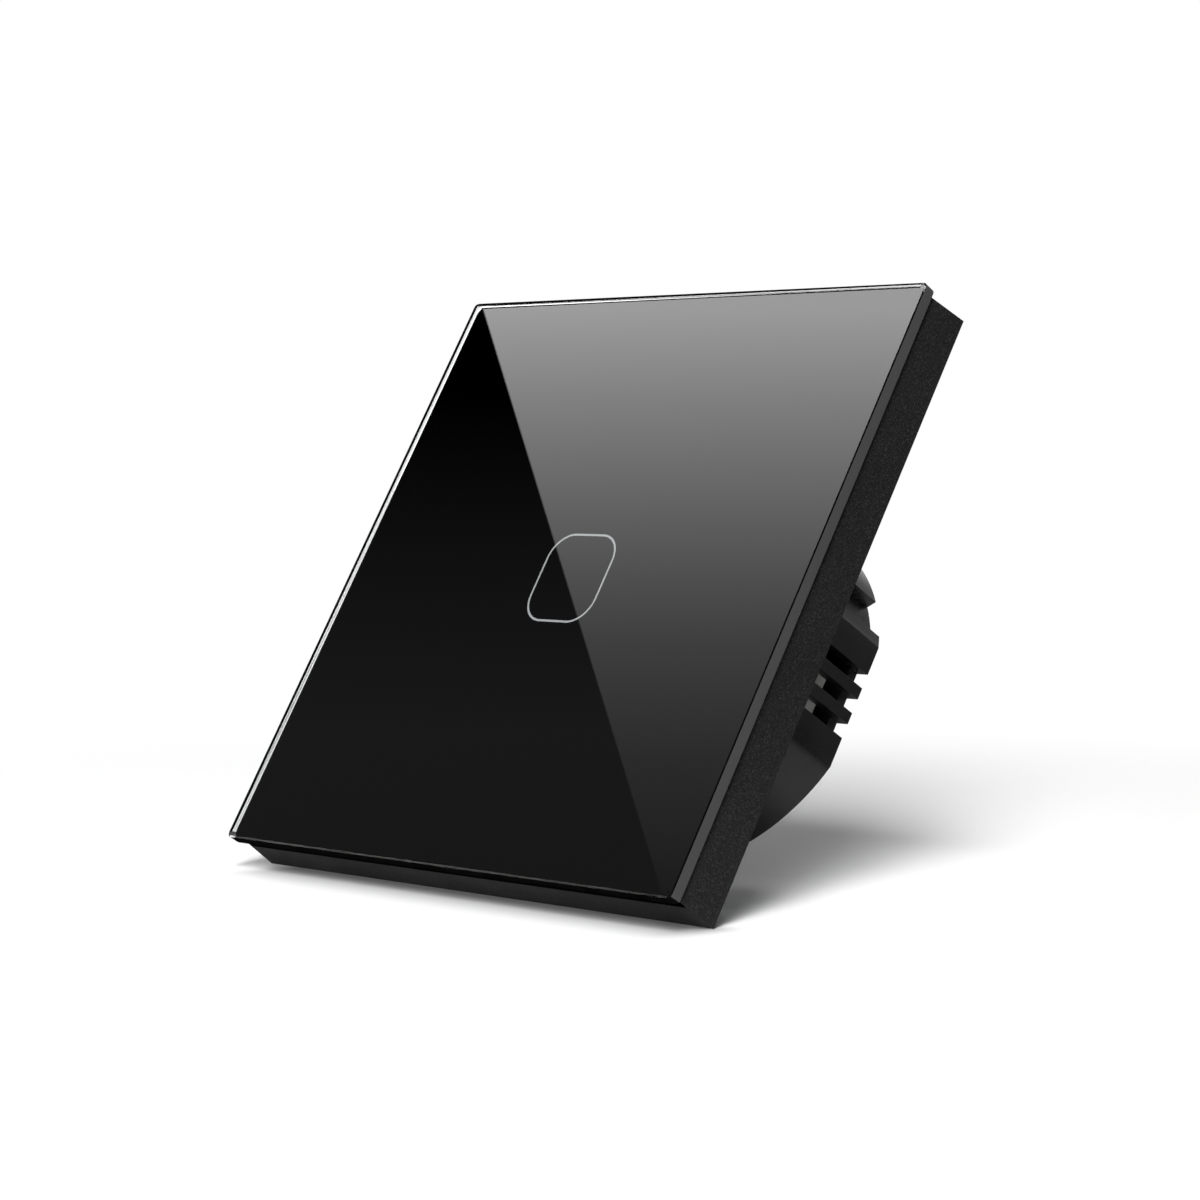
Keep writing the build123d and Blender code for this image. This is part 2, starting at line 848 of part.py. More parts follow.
def relay_winding():
    ring = Circle(coil_radius) - Circle(core_radius + bobbin_wall)
    return slab(Pos(0, core_z) * ring, yoke_back + bobbin_flange, pole_front - bobbin_flange)


def relay_fixed_contact():
    top_back = fixed_rivet_back - rivet_height
    top_front = top_back - contact_post_top
    post_z = rivet_z + contact_post_flange / 2 - contact_post_thickness / 2
    post = block(0, post_z, contact_post_width, contact_post_thickness, relay_base_back, top_front)
    post += block(0, rivet_z, contact_post_width, contact_post_flange, top_front, top_back)
    return post + rod(0, rivet_z, rivet_radius, top_back, fixed_rivet_back)


def relay_armature():
    middle = yoke_bottom + armature_length / 2
    return block(0, middle, armature_width, armature_length, armature_front, armature_back)


def relay_contact_blade():
    middle = (blade_bottom + blade_top) / 2
    length = blade_top - blade_bottom
    blade = block(0, middle, blade_width, length, armature_back, armature_back + blade_thickness)
    return blade + rod(0, rivet_z, rivet_radius, armature_back - rivet_height, armature_back)


# Terminals: places along Y inside the block
terminal_block_back = power_board_back + terminal_block_height
screw_head_back = terminal_block_back - terminal_screw_head_recess
screw_head_front = screw_head_back - terminal_screw_head_height
chamber_back = screw_head_front - shoulder_thickness


def chamber_front():
    return chamber_back - cage_height - cage_travel - 2 * cage_gap


cage_front = chamber_front() + cage_gap
bar_front = cage_front + cage_wall + wire_space
bar_back = bar_front + bar_thickness
wire_y = cage_front + cage_wall + wire_space / 2
terminal_z = -terminal_block_drop
block_bottom = terminal_z - terminal_block_length / 2
chamber_bottom = terminal_z - cage_length / 2 - cage_gap
chamber_top = terminal_z + cage_length / 2 + cage_gap


# The bent bar that a wire is clamped against, with its leg down to the board
def terminal_bar(x):
    start = chamber_bottom + bar_start_gap
    end = chamber_top + bar_tail
    bar = block(x, (start + end) / 2, bar_width, end - start, bar_front, bar_back)
    return bar + block(x, end - bar_thickness / 2, bar_width, bar_thickness, power_board_back, bar_back)


def terminal_places():
    return (-terminal_pitch / 2, terminal_pitch / 2)


def terminal_bars():
    return Compound([terminal_bar(x) for x in terminal_places()])


def terminal_block():
    length = terminal_block_length
    body = block(0, terminal_z, terminal_block_width, length, power_board_back, terminal_block_back)
    chamber_width = cage_width + 2 * cage_side_gap
    chamber_length = chamber_top - chamber_bottom
    shank_hole_radius = terminal_screw_radius + shank_gap
    for x in terminal_places():
        body -= rod(x, terminal_z, well_radius, screw_head_front, terminal_block_back + overrun)
        body -= rod(x, terminal_z, shank_hole_radius, chamber_back - overrun, screw_head_front + overrun)
        body -= block(x, terminal_z, chamber_width, chamber_length, chamber_front(), chamber_back)
        body -= upright(x, wire_y, wire_hole_radius, block_bottom - overrun, terminal_z)
        body -= terminal_bar(x)
    return body


def terminal_screw(x):
    screw = rod(x, terminal_z, terminal_screw_radius, bar_back + terminal_screw_tip_gap, screw_head_front)
    screw += rod(x, terminal_z, terminal_screw_head_radius, screw_head_front, screw_head_back)
    slot_front = screw_head_back - terminal_screw_slot_depth
    length = 2 * terminal_screw_head_radius + overrun
    slot_back = screw_head_back + overrun
    return screw - block(x, terminal_z, length, terminal_screw_slot_width, slot_front, slot_back)


# A square tube that a wire passes through, threaded on its screw
def terminal_cage(x):
    back = cage_front + cage_height
    cage = block(x, terminal_z, cage_width, cage_length, cage_front, back)
    inner_width = cage_width - 2 * cage_wall
    length = cage_length + overrun
    cage -= block(x, terminal_z, inner_width, length, cage_front + cage_wall, back - cage_wall)
    hole_radius = terminal_screw_radius + thread_gap
    return cage - rod(x, terminal_z, hole_radius, back - cage_wall - overrun, back + overrun)


left, right = terminal_places()
nodes = {
    "glass_panel": glass_panel(),
    "back_print": back_print(),
    "touch_outline": touch_outline(),
    "panel_tape": panel_tape(),
    "panel_frame": panel_frame(),
    "mounting_plate": mounting_plate(),
    "sensor_cover": sensor_cover(),
    "insulating_sheet": insulating_sheet(),
    "touch_board": touch_board(),
    "light_guide": light_guide(),
    "indicator_lamps": indicator_lamps(),
    "touch_spring": touch_spring(),
    "touch_chip": touch_chip(),
    "touch_board_parts": touch_board_parts(),
    "header_body": header_body(),
    "header_pins": header_pins(),
    "header_socket": header_socket(),
    "rear_housing": rear_housing(),
    "housing_screws": housing_screws(),
    "power_board": power_board(),
    "power_board_parts": power_board_parts(),
    "solder_joints": solder_joints(),
    "film_capacitor": film_capacitor(),
    "smoothing_capacitor": smoothing_capacitor(),
    "capacitor_top": capacitor_top(),
    "fuse": fuse(),
    "varistor": varistor(),
    "bridge_rectifier": bridge_rectifier(),
    "choke_core": choke_core(),
    "choke_winding": choke_winding(),
    "transformer_base": transformer_base(),
    "transformer_core": transformer_core(),
    "transformer_winding": transformer_winding(),
    "relay_base": relay_base(),
    "relay_case": relay_case(),
    "relay_yoke": relay_yoke(),
    "relay_bobbin": relay_bobbin(),
    "relay_winding": relay_winding(),
    "relay_fixed_contact": relay_fixed_contact(),
    "relay_armature": relay_armature(),
    "relay_contact_blade": relay_contact_blade(),
    "terminal_block": terminal_block(),
    "terminal_bars": terminal_bars(),
    "terminal_screw_line": terminal_screw(left),
    "terminal_screw_load": terminal_screw(right),
    "terminal_cage_line": terminal_cage(left),
    "terminal_cage_load": terminal_cage(right),
}

os.makedirs("parts", exist_ok=True)
for name, shape in nodes.items():
    export_step(shape, f"parts/{name}.step")
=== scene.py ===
import bpy
import bmesh
import math
from mathutils import Matrix, Vector


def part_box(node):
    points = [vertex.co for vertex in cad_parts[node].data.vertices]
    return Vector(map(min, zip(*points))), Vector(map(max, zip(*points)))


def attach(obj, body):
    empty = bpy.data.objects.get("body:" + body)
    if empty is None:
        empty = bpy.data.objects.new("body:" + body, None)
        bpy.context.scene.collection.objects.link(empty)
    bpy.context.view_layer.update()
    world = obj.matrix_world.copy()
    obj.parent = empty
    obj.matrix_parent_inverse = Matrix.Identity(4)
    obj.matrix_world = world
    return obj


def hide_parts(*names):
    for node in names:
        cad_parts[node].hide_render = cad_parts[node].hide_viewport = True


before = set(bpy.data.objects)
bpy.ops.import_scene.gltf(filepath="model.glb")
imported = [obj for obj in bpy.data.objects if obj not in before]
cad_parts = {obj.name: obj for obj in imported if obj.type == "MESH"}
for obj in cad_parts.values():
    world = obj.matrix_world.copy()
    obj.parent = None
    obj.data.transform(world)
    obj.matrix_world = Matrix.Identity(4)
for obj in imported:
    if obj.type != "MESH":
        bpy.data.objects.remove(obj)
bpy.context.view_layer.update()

print("frame loaded:", len(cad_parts), "nodes")


# Meshes

meshLook = {"mergeReach": 2e-6, "flatAngle": 0.6, "sharpAngle": 34.0, "edgeSteps": 2, "smoothAngle": 38.0}


def takeCopy(node, edgeWidth=0.0):
    # a merged copy of a CAD node, with its sharp edges broken
    copy = bmesh.new()
    copy.from_mesh(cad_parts[node].data)
    bmesh.ops.remove_doubles(copy, verts=copy.verts, dist=meshLook["mergeReach"])
    bmesh.ops.dissolve_limit(copy, angle_limit=math.radians(meshLook["flatAngle"]), verts=copy.verts,
                             edges=copy.edges, delimit=set())
    if edgeWidth > 0:
        breakEdges(copy, edgeWidth)
    return copy


def breakEdges(mesh, width):
    limit = math.radians(meshLook["sharpAngle"])
    sharp = [e for e in mesh.edges if e.is_manifold and e.calc_face_angle() > limit]
    bmesh.ops.bevel(mesh, geom=sharp, offset=width, offset_type="OFFSET", affect="EDGES",
                    segments=meshLook["edgeSteps"], profile=0.5, material=-1, clamp_overlap=True)


def placeMesh(name, mesh):
    data = bpy.data.meshes.new(name)
    mesh.to_mesh(data)
    mesh.free()
    piece = bpy.data.objects.new(name, data)
    bpy.context.scene.collection.objects.link(piece)
    return piece


def finishPiece(name, mesh, body, materials, replaced, smoothAngle=meshLook["smoothAngle"]):
    # writes the mesh, hangs it on its CAD body and hides the node that it stands for
    for face in mesh.faces:
        face.smooth = True
    for edge in mesh.edges:
        edge.smooth = edge.is_manifold and edge.calc_face_angle(0.0) < math.radians(smoothAngle)
    piece = placeMesh(name, mesh)
    for material in materials:
        piece.data.materials.append(material)
    weighted = piece.modifiers.new("faceWeights", "WEIGHTED_NORMAL")
    weighted.keep_sharp = True
    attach(piece, body)
    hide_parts(*replaced)
    print("piece", name, len(piece.data.polygons), "faces")


def dress(node, material):
    # gives a carried-over CAD node its finish
    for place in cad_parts[node].material_slots:
        place.material = material


# Materials

def startMaterial(name):
    material = bpy.data.materials.new(name)
    material.use_nodes = True
    tree = material.node_tree
    return material, tree, tree.nodes["Principled BSDF"]


def addNode(tree, kind, inputs=None, **settings):
    node = tree.nodes.new(kind)
    for key, value in settings.items():
        setattr(node, key, value)
    for key, value in (inputs or {}).items():
        if isinstance(value, bpy.types.NodeSocket):
            tree.links.new(value, node.inputs[key])
        else:
            node.inputs[key].default_value = value
    return node


def objectPlace(tree, scale=(1, 1, 1)):
    place = addNode(tree, "ShaderNodeTexCoord")
    mapping = addNode(tree, "ShaderNodeMapping", {"Vector": place.outputs["Object"], "Scale": scale})
    return mapping.outputs["Vector"]


def grain(tree, vector, size, detail=2.0, rough=0.5):
    # size is the grain's real size in metres
    node = addNode(tree, "ShaderNodeTexNoise", {"Vector": vector, "Scale": 1.0 / size, "Detail": detail,
                                                "Roughness": rough})
    return node.outputs["Fac"]


def spread(tree, value, low, high, fromLow=0.35, fromHigh=0.65, **settings):
    node = addNode(tree, "ShaderNodeMapRange", {"Value": value, "From Min": fromLow, "From Max": fromHigh,
                                                "To Min": low, "To Max": high}, **settings)
    return node.outputs["Result"]


def reckon(tree, operation, *values):
    return addNode(tree, "ShaderNodeMath", dict(enumerate(values)), operation=operation).outputs[0]


def blendColours(tree, factor, first, second):
    # a colour is three numbers or a socket of another node
    colours = [c if isinstance(c, bpy.types.NodeSocket) else (*c, 1) for c in (first, second)]
    node = addNode(tree, "ShaderNodeMix", {0: factor, 6: colours[0], 7: colours[1]}, data_type="RGBA")
    return node.outputs[2]


def mixShaders(tree, factor, first, second):
    return addNode(tree, "ShaderNodeMixShader", {"Fac": factor, 1: first.outputs[0], 2: second.outputs[0]})


def bumpFrom(tree, height, depth):
    # depth is the relief's real depth in metres
    node = addNode(tree, "ShaderNodeBump", {"Height": height, "Distance": depth, "Strength": 1.0})
    return node.outputs["Normal"]


def setGloss(tree, shader, pattern, look):
    # the roughness drifts a little around its mean
    mean, drift = look["rough"], look["roughDrift"]
    tree.links.new(spread(tree, pattern, mean - drift, mean + drift), shader.inputs["Roughness"])


def mouldedPlastic(name, look):
    # moulded plastic: fine spark texture, slow tone drift and slightly uneven gloss
    material, tree, shader = startMaterial(name)
    place = objectPlace(tree)
    fine = grain(tree, place, look["grainSize"], 2.0, 0.6)
    slow = grain(tree, place, look.get("driftSize", 0.012), 3.0)
    tone = blendColours(tree, spread(tree, slow, 0, 1), look["colour"], look["secondColour"])
    if "speckColour" in look:
        specks = spread(tree, fine, 0, look["speckShare"], *look["speckEdges"])
        tone = blendColours(tree, specks, tone, look["speckColour"])
    tree.links.new(tone, shader.inputs["Base Color"])
    setGloss(tree, shader, slow, look)
    tree.links.new(bumpFrom(tree, fine, look["grainDepth"]), shader.inputs["Normal"])
    shader.inputs["IOR"].default_value = 1.5
    shader.inputs["Specular IOR Level"].default_value = look.get("specular", 0.5)
    return material


def metal(name, look):
    # plated or bare metal: drawn streaks along one direction, tarnish patches, fine scratches
    material, tree, shader = startMaterial(name)
    streaks = grain(tree, objectPlace(tree, look.get("streak", (1, 1, 1))), look["grainSize"], 4.0, 0.6)
    slow = grain(tree, objectPlace(tree), look.get("driftSize", 0.004), 3.0)
    tone = blendColours(tree, spread(tree, slow, 0, 1), look["colour"], look["secondColour"])
    tree.links.new(tone, shader.inputs["Base Color"])
    setGloss(tree, shader, streaks, look)
    tree.links.new(bumpFrom(tree, streaks, look["grainDepth"]), shader.inputs["Normal"])
    shader.inputs["Metallic"].default_value = 1.0
    return material


# Front glass, with a fine arris and ground side walls

glassLook = {"cornerRadius": 0.0007, "arris": 0.0002, "backArris": 0.00012, "rightArrisCut": 0.0001,
             "intoPrint": 0.00002, "edgeShadeBand": 0.0006, "edgeShadeTaper": (0.0002, 0.0004), "edgeShadeCorner": 0.0016,
             "leftClear": 0.0019, "topLine": (0.00099, 0.0008), "topLean": 0.0024,
             "tint": (0.01, 0.01, 0.0101), "tintShares": (0.985, 0.995, 0.99), "driftSize": 0.02,
             "edgeShadeDrift": 0.002, "edgeShadeBlack": (0.002, 0.002, 0.002), "edgeShadeSecond": (0.004, 0.004, 0.004),
             "edgeShadeRough": 0.3, "rough": 0.34, "roughDrift": 0.06, "wallGrain": 0.00012,
             "wallRelief": 0.0000015, "wallShare": 0.76, "wallTone": (0.95, 0.96, 0.96)}


# painted shade: the right wall is an opaque dark grey copy of the ground wall, darker than the left one, and
# doesn't pass light on
shadedWallLook = {"colour": (0.042, 0.0422, 0.0422), "secondColour": (0.0395, 0.0397, 0.0397),
                  "grainSize": 0.00012, "grainDepth": 0.000002, "rough": 0.6, "roughDrift": 0.04,
                  "specular": 0.2}


def polishedGlass(name, tint):
    material, tree, shader = startMaterial(name)
    drift = spread(tree, grain(tree, objectPlace(tree), glassLook["driftSize"], 2.0), 0, 1)
    second = [part * share for part, share in zip(tint, glassLook["tintShares"])]
    tree.links.new(blendColours(tree, drift, tint, second), shader.inputs["Base Color"])
    shader.inputs["Transmission Weight"].default_value = 1.0
    shader.inputs["IOR"].default_value = 1.5
    shader.inputs["Roughness"].default_value = 0.0
    return material


def groundGlass(name):
    # the ground wall scatters what shines in from outside
    look = glassLook
    material, tree, shader = startMaterial(name)
    grit = grain(tree, objectPlace(tree), look["wallGrain"], 3.0, 0.7)
    shader.inputs["Base Color"].default_value = (1, 1, 1, 1)
    shader.inputs["Transmission Weight"].default_value = 1.0
    shader.inputs["IOR"].default_value = 1.5
    setGloss(tree, shader, grit, look)
    relief = bumpFrom(tree, grit, look["wallRelief"])
    tree.links.new(relief, shader.inputs["Normal"])
    scatter = addNode(tree, "ShaderNodeBsdfTranslucent", {"Color": (*look["wallTone"], 1), "Normal": relief})
    mixed = mixShaders(tree, look["wallShare"], shader, scatter)
    tree.links.new(mixed.outputs[0], tree.nodes["Material Output"].inputs["Surface"])
    return material


def edgeShade(name):
    # painted shade: black, unglossed lines at the glass's rim and on its bottom wall
    material, tree, shader = startMaterial(name)
    drift = spread(tree, grain(tree, objectPlace(tree), glassLook["edgeShadeDrift"], 3.0), 0, 1)
    tree.links.new(blendColours(tree, drift, glassLook["edgeShadeBlack"], glassLook["edgeShadeSecond"]),
                   shader.inputs["Base Color"])
    shader.inputs["Roughness"].default_value = glassLook["edgeShadeRough"]
    shader.inputs["Specular IOR Level"].default_value = 0.0
    return material


def glassBlock(low, high):
    # a slab with round corners and an arris around both of its faces
    look, size = glassLook, high - low
    depth = size.y + look["intoPrint"]
    centre = Vector(((low.x + high.x) / 2, low.y + depth / 2, (low.z + high.z) / 2))
    glass = bmesh.new()
    bmesh.ops.create_cube(glass, size=1.0)
    bmesh.ops.scale(glass, vec=(size.x, depth, size.z), verts=glass.verts)
    bmesh.ops.translate(glass, vec=centre, verts=glass.verts)
    corners = [e for e in glass.edges if abs((e.verts[0].co - e.verts[1].co).y) > depth / 2]
    bmesh.ops.bevel(glass, geom=corners, offset=look["cornerRadius"], affect="EDGES", segments=8,
                    profile=0.5, material=-1)
    for frontSide, width in ((True, look["arris"]), (False, look["backArris"])):
        rims = [e for e in glass.edges if e.calc_face_angle(0) > math.radians(60)
                and ((e.verts[0].co + e.verts[1].co).y / 2 < centre.y) == frontSide]
        bmesh.ops.bevel(glass, geom=rims, offset=width, affect="EDGES", segments=1, profile=0.5, material=-1)
    rightRim = [v for v in glass.verts if v.co.y < low.y + 1e-6 and v.co.x > high.x - look["arris"] * 1.5]
    bmesh.ops.translate(glass, vec=(look["rightArrisCut"], 0, 0), verts=rightRim)
    glass.normal_update()
    return glass, centre


def isFront(face):
    return face.normal.y < -0.99


def cutFront(glass, point, across):
    # cuts the part of the front that isn't inked
    faces = [f for f in glass.faces if isFront(f) and f.material_index == 0]
    parts = faces + [e for f in faces for e in f.edges] + [v for f in faces for v in f.verts]
    bmesh.ops.bisect_plane(glass, geom=list(dict.fromkeys(parts)), plane_co=point, plane_no=across, dist=1e-7)


def makeGlass():
    look = glassLook
    clear, ground, footShade, rimShade, tinted, shaded = range(6)
    low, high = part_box("glass_panel")
    glass, centre = glassBlock(low, high)
    half, corner = (high - low) / 2, look["edgeShadeCorner"]
    for face in glass.faces:
        if abs(face.normal.y) > 0.06:
            face.material_index = clear
        # painted shade: the bottom wall, which faces down, is black
        elif face.normal.z < -0.5:
            face.material_index = footShade
        else:
            face.material_index = shaded if face.normal.x > 0.5 else ground
    # painted shade: narrow black bands along the left and top edges of the front, and the top one thins to
    # the right
    face = [f for f in glass.faces if isFront(f)][0]
    ring = bmesh.ops.inset_region(glass, faces=[face], thickness=look["edgeShadeBand"], depth=0,
                                  use_even_offset=True)["faces"]
    for part in ring:
        middle = part.calc_center_median()
        besideLeft = middle.x < low.x + corner and middle.z > low.z + corner
        besideTop = middle.z > high.z - corner and middle.x < high.x - corner
        part.material_index = rimShade if besideLeft or besideTop else tinted
    inner = [v for f in glass.faces if isFront(f) and f not in ring for v in f.verts]
    for onRight, lift in zip((False, True), look["edgeShadeTaper"]):
        bmesh.ops.translate(glass, vec=(0, 0, lift),
                            verts=[v for v in inner if v.co.z > centre.z and (v.co.x > centre.x) == onRight])
    # inside them the glass stays clear, up to a thin painted shade line along the top that leans a little
    cutFront(glass, centre - Vector((half.x - look["leftClear"], 0, 0)), (1, 0, 0))
    for reach in look["topLine"]:
        cutFront(glass, centre + Vector((0, 0, half.z - reach)), (-look["topLean"], 0, 1))
    lineFoot, lineTop = look["topLine"]
    for face in glass.faces:
        middle, lie = face.calc_center_median() - centre, face.normal
        fromTop = max(half.z - v.co.z + look["topLean"] * v.co.x for v in face.verts)
        if isFront(face):
            if face.material_index == clear and middle.x > -half.x / 2:
                if middle.z < half.z / 2:
                    face.material_index = tinted
                elif fromTop > (lineFoot + lineTop) / 2:
                    face.material_index = rimShade
        # painted shade: facets of the arris on the left, along the top and at the lower right are black too
        elif -0.95 < lie.y < -0.4 and (lie.x < -0.2 or lie.z > 0.2 or (lie.x > 0.2 and lie.z < -0.1)):
            face.material_index = rimShade
    finishPiece("frontGlass", glass, "front_panel",
                [polishedGlass("clearGlass", (1, 1, 1)), groundGlass("groundGlass"),
                 edgeShade("footWallShade"), edgeShade("rimShade"), polishedGlass("blackGlass", look["tint"]),
                 mouldedPlastic("shadedWall", shadedWallLook)],
                ["glass_panel"], smoothAngle=30)


makeGlass()


# Black back print, pale outline and foam tape

printLook = {"black": (0.0022, 0.0022, 0.0024), "secondBlack": (0.003, 0.003, 0.0032),
             "driftSize": 0.01, "rough": 0.9, "rimShare": 0.9,
             "margins": ((0.00036, 0.0003), (0.0003, 0.00026)),
             "outline": (0.55, 0.57, 0.58), "outlinePaintedLight": 8.0, "outlineRough": 0.7,
             "dotSize": 0.00018, "dotShare": 0.86}


def blackInk():
    material, tree, shader = startMaterial("blackInk")
    slow = grain(tree, objectPlace(tree), printLook["driftSize"], 3.0)
    tone = blendColours(tree, spread(tree, slow, 0, 1), printLook["black"], printLook["secondBlack"])
    tree.links.new(tone, shader.inputs["Base Color"])
    shader.inputs["Roughness"].default_value = printLook["rough"]
    shader.inputs["Specular IOR Level"].default_value = 0.0
    return material


def glowingOutlineInk():
    material, tree, shader = startMaterial("glowingOutlineInk")
    dots = grain(tree, objectPlace(tree), printLook["dotSize"], 2.0)
    tone = blendColours(tree, spread(tree, dots, 0, 1), printLook["outline"],
                        [c * printLook["dotShare"] for c in printLook["outline"]])
    tree.links.new(tone, shader.inputs["Base Color"])
    # painted light: the pale outline print glows, standing in for the lamp light that reaches it through the
    # glass
    tree.links.new(tone, shader.inputs["Emission Color"])
    shader.inputs["Emission Strength"].default_value = printLook["outlinePaintedLight"]
    shader.inputs["Roughness"].default_value = printLook["outlineRough"]
    shader.inputs["Specular IOR Level"].default_value = 0.1
    return material


def makePrint():
    # the ink stops just short of the glass's rim
    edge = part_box("back_print")[1].x
    ink = takeCopy("back_print")
    rim = [v for v in ink.verts if max(abs(v.co.x), abs(v.co.z)) > edge * printLook["rimShare"]]
    for axis, sides in enumerate(printLook["margins"]):
        for sign, margin in zip((1, -1), sides):
            move = Vector((sign * margin, 0, 0)) if axis == 0 else Vector((0, 0, sign * margin))
            bmesh.ops.translate(ink, vec=move, verts=[v for v in rim if v.co[axis * 2] * sign < 0])
    finishPiece("backPrint", ink, "front_panel", [blackInk()], ["back_print"])


makePrint()
dress("touch_outline", glowingOutlineInk())
dress("panel_tape", mouldedPlastic("foamTape", {
    "colour": (0.012, 0.012, 0.013), "secondColour": (0.02, 0.02, 0.02), "grainSize": 0.00035,
    "grainDepth": 0.00012, "rough": 0.92, "roughDrift": 0.05, "specular": 0.2}))


# Panel frame in fine sand-textured black plastic

frameLook = {"edge": 0.0001, "colour": (0.0026, 0.0026, 0.0027), "secondColour": (0.0037, 0.0037, 0.0038),
             "speckColour": (0.041, 0.041, 0.0425), "speckShare": 0.6, "speckEdges": (0.5, 0.72),
             "grainSize": 0.0002, "grainDepth": 0.00004, "rough": 0.66, "roughDrift": 0.05, "specular": 0.2,
             "bandDepth": 0.0016, "bandSoft": 0.0001, "bandFoot": (0.001, 0.0012),
             "bandEnds": (0.0006, 0.0008), "paintedShadeColour": (0.0002, 0.0002, 0.0002)}

framePlastic = mouldedPlastic("sandedPlastic", frameLook)


def shadeUnderGlass(material):
    # painted shade: a matt black band along the foot, close behind the glass, where the glass's overhang
    # shades it
    look, tree = frameLook, material.node_tree
    shader = tree.nodes["Principled BSDF"]
    low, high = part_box("panel_frame")
    parts = addNode(tree, "ShaderNodeSeparateXYZ", {"Vector": objectPlace(tree)})
    depth, soft = low.y + look["bandDepth"], look["bandSoft"]
    (footLow, footHigh), (endOut, endIn) = look["bandFoot"], look["bandEnds"]
    close = spread(tree, parts.outputs["Y"], 1, 0, depth - soft, depth + soft)
    foot = spread(tree, parts.outputs["Z"], 0, 1, low.z + footHigh, low.z + footLow)
    across = reckon(tree, "ABSOLUTE", parts.outputs["X"])
    between = spread(tree, across, 1, 0, high.x - endIn, high.x - endOut)
    paintedShade = reckon(tree, "MULTIPLY", reckon(tree, "MULTIPLY", close, foot), between)
    tone = shader.inputs["Base Color"].links[0].from_socket
    tree.links.new(blendColours(tree, paintedShade, tone, look["paintedShadeColour"]), shader.inputs["Base Color"])
    tree.links.new(spread(tree, paintedShade, look["specular"], 0, 0, 1), shader.inputs["Specular IOR Level"])


shadeUnderGlass(framePlastic)
finishPiece("panelFrame", takeCopy("panel_frame", frameLook["edge"]), "front_panel",
            [framePlastic], ["panel_frame"])


# Mounting plate and sensor cover

plateLook = {"edge": 0.00012, "colour": (0.62, 0.63, 0.63), "secondColour": (0.57, 0.58, 0.59),
             "streak": (0.05, 1, 1), "grainSize": 0.00022, "grainDepth": 0.000003, "driftSize": 0.012,
             "rough": 0.36, "roughDrift": 0.05}
finishPiece("mountingPlate", takeCopy("mounting_plate", plateLook["edge"]), "switch_module",
            [metal("zincSheet", plateLook)], ["mounting_plate"])

coverLook = {"edge": 0.00014, "colour": (0.017, 0.017, 0.0175), "secondColour": (0.022, 0.022, 0.023),
             "grainSize": 0.00016, "grainDepth": 0.00001, "rough": 0.42, "roughDrift": 0.06}
finishPiece("sensorCover", takeCopy("sensor_cover", coverLook["edge"]), "switch_module",
            [mouldedPlastic("coverPlastic", coverLook)], ["sensor_cover"])


# Rear housing

housingLook = {"edge": 0.0002, "colour": (0.0045, 0.0045, 0.0047), "secondColour": (0.006, 0.006, 0.0063),
               "grainSize": 0.00015, "grainDepth": 0.000006, "rough": 0.3, "roughDrift": 0.04,
               "specular": 0.42}
finishPiece("rearHousing", takeCopy("rear_housing", housingLook["edge"]), "switch_module",
            [mouldedPlastic("housingPlastic", housingLook)], ["rear_housing"])

terminalLook = {"edge": 0.00012, "colour": (0.014, 0.014, 0.0145), "secondColour": (0.018, 0.018, 0.0185),
                "grainSize": 0.00015, "grainDepth": 0.000008, "rough": 0.45, "roughDrift": 0.06}
finishPiece("terminalBlock", takeCopy("terminal_block", terminalLook["edge"]), "switch_module",
            [mouldedPlastic("terminalPlastic", terminalLook)], ["terminal_block"])


# Finishes of the pieces inside, by node

def plainFinish(name, colour, rough, drift=0.8):
    return mouldedPlastic(name, {"colour": colour, "secondColour": [c * drift for c in colour],
                                 "grainSize": 0.0002, "grainDepth": 0.000006, "driftSize": 0.003,
                                 "rough": rough, "roughDrift": 0.06})


steel = metal("platedSteel", {"colour": (0.66, 0.65, 0.62), "secondColour": (0.5, 0.49, 0.47),
                              "grainSize": 0.0002, "grainDepth": 0.000004, "rough": 0.28, "roughDrift": 0.08})
brass = metal("brass", {"colour": (0.78, 0.58, 0.27), "secondColour": (0.66, 0.47, 0.2),
                        "grainSize": 0.0002, "grainDepth": 0.000004, "rough": 0.3, "roughDrift": 0.08})
copper = metal("copper", {"colour": (0.8, 0.38, 0.2), "secondColour": (0.62, 0.27, 0.13),
                          "grainSize": 0.0002, "grainDepth": 0.000004, "rough": 0.3, "roughDrift": 0.08})
tin = metal("tin", {"colour": (0.72, 0.72, 0.72), "secondColour": (0.6, 0.6, 0.6),
                    "grainSize": 0.0003, "grainDepth": 0.000004, "rough": 0.3, "roughDrift": 0.1})
gold = metal("gold", {"colour": (0.9, 0.68, 0.32), "secondColour": (0.82, 0.58, 0.25),
                      "grainSize": 0.0003, "grainDepth": 0.000003, "rough": 0.25, "roughDrift": 0.06})


boardLook = {"colour": (0.008, 0.065, 0.026), "pourColour": (0.018, 0.13, 0.05), "pourSize": 0.0042,
             "pourShare": 0.55, "pourSoft": 0.02, "pourHeight": 0.00003, "driftSize": 0.006, "rough": 0.3,
             "roughDrift": 0.05}


def boardMask():
    # green solder mask over squared copper areas
    look = boardLook
    material, tree, shader = startMaterial("boardMask")
    place = objectPlace(tree)
    areas = addNode(tree, "ShaderNodeTexVoronoi", {"Vector": place, "Scale": 1.0 / look["pourSize"]},
                    distance="CHEBYCHEV")
    share = addNode(tree, "ShaderNodeSeparateColor", {"Color": areas.outputs["Color"]})
    pour = spread(tree, share.outputs[0], 0, 1, look["pourShare"] - look["pourSoft"], look["pourShare"])
    tree.links.new(blendColours(tree, pour, look["colour"], look["pourColour"]), shader.inputs["Base Color"])
    setGloss(tree, shader, grain(tree, place, look["driftSize"], 3.0), look)
    tree.links.new(bumpFrom(tree, pour, look["pourHeight"]), shader.inputs["Normal"])
    return material


